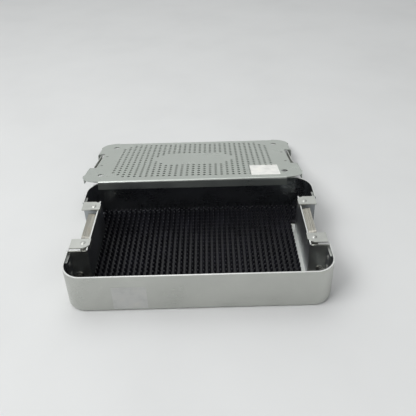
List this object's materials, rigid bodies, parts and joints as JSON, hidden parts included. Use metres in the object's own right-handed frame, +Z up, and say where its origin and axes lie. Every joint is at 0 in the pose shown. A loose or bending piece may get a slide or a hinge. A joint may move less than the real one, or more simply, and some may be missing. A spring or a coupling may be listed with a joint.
{
  "type": "instrument sterilisation case",
  "caption": "Shallow aluminium case with a finger mat, a folding bail handle in a recess at each end, and a perforated lift-off lid leaning on its back rim.",
  "frame": {"origin": "centre of the tub's flat underside, on the table", "axes": "+X along the length to the right end, -Y to the front, +Z up"},
  "size_m": [0.2914, 0.3261, 0.0531],
  "materials": {
    "tub_aluminium": "satin anodised",
    "recess_aluminium": "satin anodised",
    "cap_aluminium": "satin",
    "rivet_aluminium": "satin",
    "rod_steel": "drawn",
    "bail_steel": "brushed lengthwise",
    "mat_silicone": "moulded, matte",
    "front_tape": "translucent matte tape",
    "lid_aluminium": "satin anodised",
    "keeper_aluminium": "satin",
    "lid_sticker": "matte paper label"
  },
  "bodies": {
    "case": {"tub_shell": "tub_aluminium", "left_recess": "recess_aluminium", "right_recess": "recess_aluminium", "cap_front_left": "cap_aluminium", "cap_back_left": "cap_aluminium", "cap_front_right": "cap_aluminium", "cap_back_right": "cap_aluminium", "cap_rivets": "rivet_aluminium", "ear_rivets": "rivet_aluminium", "left_hinge_rod": "rod_steel", "right_hinge_rod": "rod_steel", "left_rod_washers": "rod_steel", "right_rod_washers": "rod_steel", "finger_mat": "mat_silicone", "front_label": "front_tape"},
    "left_bail": {"left_bail": "bail_steel"},
    "right_bail": {"right_bail": "bail_steel"},
    "lid": {"lid_plate": "lid_aluminium", "left_keeper": "keeper_aluminium", "right_keeper": "keeper_aluminium", "lid_label": "lid_sticker"}
  },
  "joints": [
    {"name": "left_bail_hinge", "type": "hinge", "parent": "case", "child": "left_bail", "pos_m": [-0.131, 0, 0.013], "axis": [0, -1, 0], "range_deg": [0, 95]},
    {"name": "right_bail_hinge", "type": "hinge", "parent": "case", "child": "right_bail", "pos_m": [0.131, 0, 0.013], "axis": [0, 1, 0], "range_deg": [0, 95]},
    {"name": "lid_lift", "type": "slide", "parent": "case", "child": "lid", "axis": [0, 0, 1], "range_m": [0, 0.06]}
  ]
}
